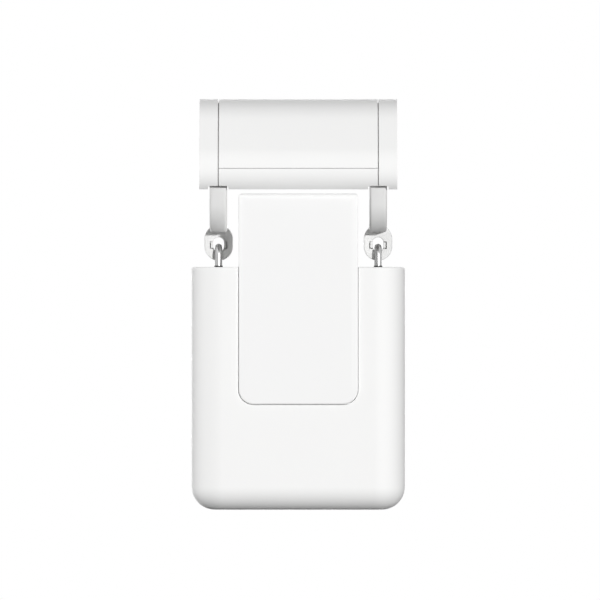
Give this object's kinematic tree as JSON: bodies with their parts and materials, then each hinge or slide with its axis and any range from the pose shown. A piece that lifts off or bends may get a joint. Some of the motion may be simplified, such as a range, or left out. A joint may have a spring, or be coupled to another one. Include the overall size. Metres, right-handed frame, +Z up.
{
  "type": "smart curtain robot",
  "caption": "Battery curtain robot that hangs on a rod: a roller carriage on top, and a sprung motor unit below whose driven wheel grips the rod's underside.",
  "frame": {"origin": "on the axis of the thinnest rod, 25 mm, at the middle of the robot's width", "axes": "+X along the rod, -Y the front with the panel, +Z up"},
  "size_m": [0.0856, 0.0529, 0.1646],
  "materials": {
    "white_shell": "moulded white plastic with a fine satin grain",
    "white_panel": "moulded white plastic, a little smoother",
    "grey_arm": "light grey glass-filled plastic, satin",
    "steel": "plain turned steel",
    "hook_chrome": "bright plated wire",
    "spring_steel": "drawn spring wire",
    "tyre_rubber": "moulded black rubber",
    "roller_nylon": "machined white nylon",
    "gear_plastic": "moulded natural acetal",
    "brass": "turned brass",
    "plate_steel": "stamped plated steel",
    "motor_steel": "drawn plated steel can",
    "black_plastic": "moulded black plastic",
    "cell_wrap": "shrink wrap over a metal can",
    "board_green": "green solder mask",
    "lead_red": "insulated wire",
    "clear_pipe": "clear acrylic"
  },
  "bodies": {
    "motor_unit": {"front_shell": "white_shell", "rear_cover": "white_shell", "rear_screws": "steel", "top_deck": "white_shell", "deck_screws": "steel", "front_panel": "white_panel", "tower_housing": "white_shell", "hook_bush_left": "black_plastic", "hook_bush_right": "black_plastic", "hook_spring_left": "spring_steel", "hook_spring_right": "spring_steel", "drive_bearings": "steel", "gear_pins": "steel", "gearbox_front_plate": "plate_steel", "gearbox_rear_plate": "plate_steel", "gearbox_spacers": "brass", "gearbox_screws": "steel", "motor_can": "motor_steel", "gearhead": "plate_steel", "motor_end_cap": "black_plastic", "motor_screws": "steel", "motor_leads": "lead_red", "cell_left": "cell_wrap", "cell_right": "cell_wrap", "cell_cradle_left": "black_plastic", "cell_cradle_right": "black_plastic", "main_board": "board_green", "board_parts": "black_plastic", "charging_socket": "plate_steel", "light_pipe": "clear_pipe"},
    "carriage": {"carriage_cover": "white_shell", "carriage_front_strip": "white_shell", "end_cap_left": "white_shell", "end_cap_right": "white_shell", "carriage_frame": "grey_arm", "cover_screws": "steel", "hook_arm_left": "grey_arm", "hook_arm_right": "grey_arm", "arm_screws": "steel", "roller_axle_left": "steel", "roller_axle_right": "steel", "axle_clips": "steel", "roller_spacers": "steel"},
    "left_roller": {"roller_left": "roller_nylon", "roller_bearings_left": "steel"},
    "right_roller": {"roller_right": "roller_nylon", "roller_bearings_right": "steel"},
    "left_hook": {"spring_hook_left": "hook_chrome", "hook_stop_left": "steel"},
    "right_hook": {"spring_hook_right": "hook_chrome", "hook_stop_right": "steel"},
    "drive_wheel": {"drive_tyre": "tyre_rubber", "drive_hub": "roller_nylon", "drive_axle": "steel", "drive_gear": "gear_plastic"},
    "second_wheel": {"second_gear": "gear_plastic"},
    "first_wheel": {"first_gear": "gear_plastic"},
    "output": {"output_shaft": "steel", "pinion": "brass"},
    "button": {"setup_button": "white_shell"}
  },
  "joints": [
    {"name": "carriage_lift", "type": "slide", "parent": "motor_unit", "child": "carriage", "axis": [0, 0, 1], "range_m": [0, 0.007], "stiffness_N_per_m": 1400, "springref_m": -0.012},
    {"name": "left_roller_spin", "type": "hinge", "parent": "carriage", "child": "left_roller", "pos_m": [-0.016, 0, 0.0179], "axis": [0, 1, 0], "continuous": true},
    {"name": "right_roller_spin", "type": "hinge", "parent": "carriage", "child": "right_roller", "pos_m": [0.016, 0, 0.0179], "axis": [0, 1, 0], "continuous": true},
    {"name": "left_hook_slide", "type": "slide", "parent": "motor_unit", "child": "left_hook", "axis": [0, 0, 1], "range_m": [0, 0.007], "deforming": ["hook_spring_left"]},
    {"name": "right_hook_slide", "type": "slide", "parent": "motor_unit", "child": "right_hook", "axis": [0, 0, 1], "range_m": [0, 0.007], "deforming": ["hook_spring_right"]},
    {"name": "drive_wheel_spin", "type": "hinge", "parent": "motor_unit", "child": "drive_wheel", "pos_m": [0, 0, -0.024], "axis": [0, 1, 0], "continuous": true},
    {"name": "second_wheel_spin", "type": "hinge", "parent": "motor_unit", "child": "second_wheel", "pos_m": [0, 0, -0.0384], "axis": [0, 1, 0], "continuous": true},
    {"name": "first_wheel_spin", "type": "hinge", "parent": "motor_unit", "child": "first_wheel", "pos_m": [0, 0, -0.0538], "axis": [0, 1, 0], "continuous": true},
    {"name": "output_spin", "type": "hinge", "parent": "motor_unit", "child": "output", "pos_m": [0, 0, -0.0661], "axis": [0, 1, 0], "continuous": true},
    {"name": "button_press", "type": "slide", "parent": "motor_unit", "child": "button", "axis": [0, 0, 1], "range_m": [0, 0.0006], "stiffness_N_per_m": 600, "springref_m": -0.0006}
  ],
  "couplings": [
    {"joint": "left_hook_slide", "follows": "carriage_lift", "ratio": 1},
    {"joint": "right_hook_slide", "follows": "carriage_lift", "ratio": 1},
    {"joint": "second_wheel_spin", "follows": "drive_wheel_spin", "ratio": -2},
    {"joint": "first_wheel_spin", "follows": "drive_wheel_spin", "ratio": 4.7692},
    {"joint": "output_spin", "follows": "drive_wheel_spin", "ratio": -11.526}
  ]
}
